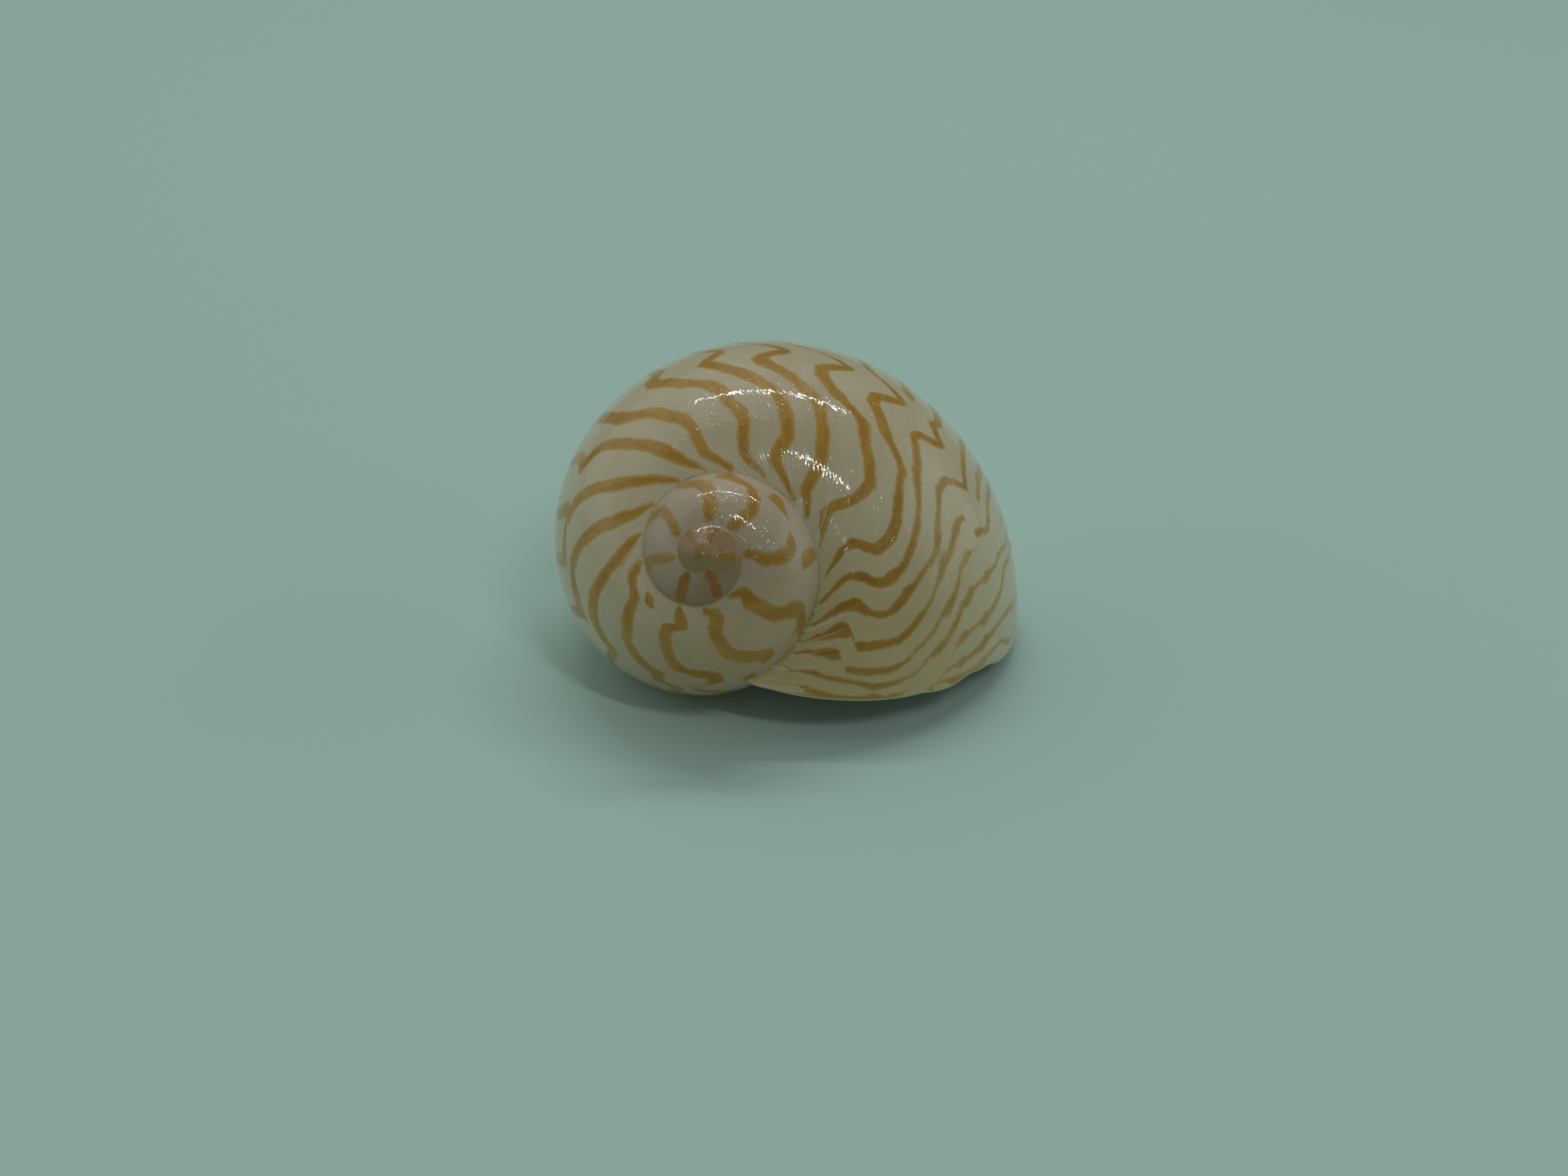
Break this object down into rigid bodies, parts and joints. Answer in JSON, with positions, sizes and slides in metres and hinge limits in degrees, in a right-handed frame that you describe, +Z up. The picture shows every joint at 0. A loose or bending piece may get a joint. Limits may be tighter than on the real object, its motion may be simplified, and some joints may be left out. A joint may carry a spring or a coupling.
{
  "type": "moon snail shell",
  "caption": "Glossy globular sea snail's shell with a low spire, a wide half-round mouth and fine wavy brown lines across cream whorls, lying on its mouth.",
  "frame": {"origin": "on the surface that it rests on, under the middle of its bounding box", "axes": "+Z up; +X toward the outer lip, its longest way; the spire points to -Y and a little up, the mouth faces down"},
  "size_m": [0.0316, 0.0258, 0.0197],
  "materials": {
    "shell": "glossy polished shell, cream with wavy brown lines, white base and a cream-yellow inside"
  },
  "bodies": {
    "root": {"shell": "shell"}
  },
  "joints": []
}
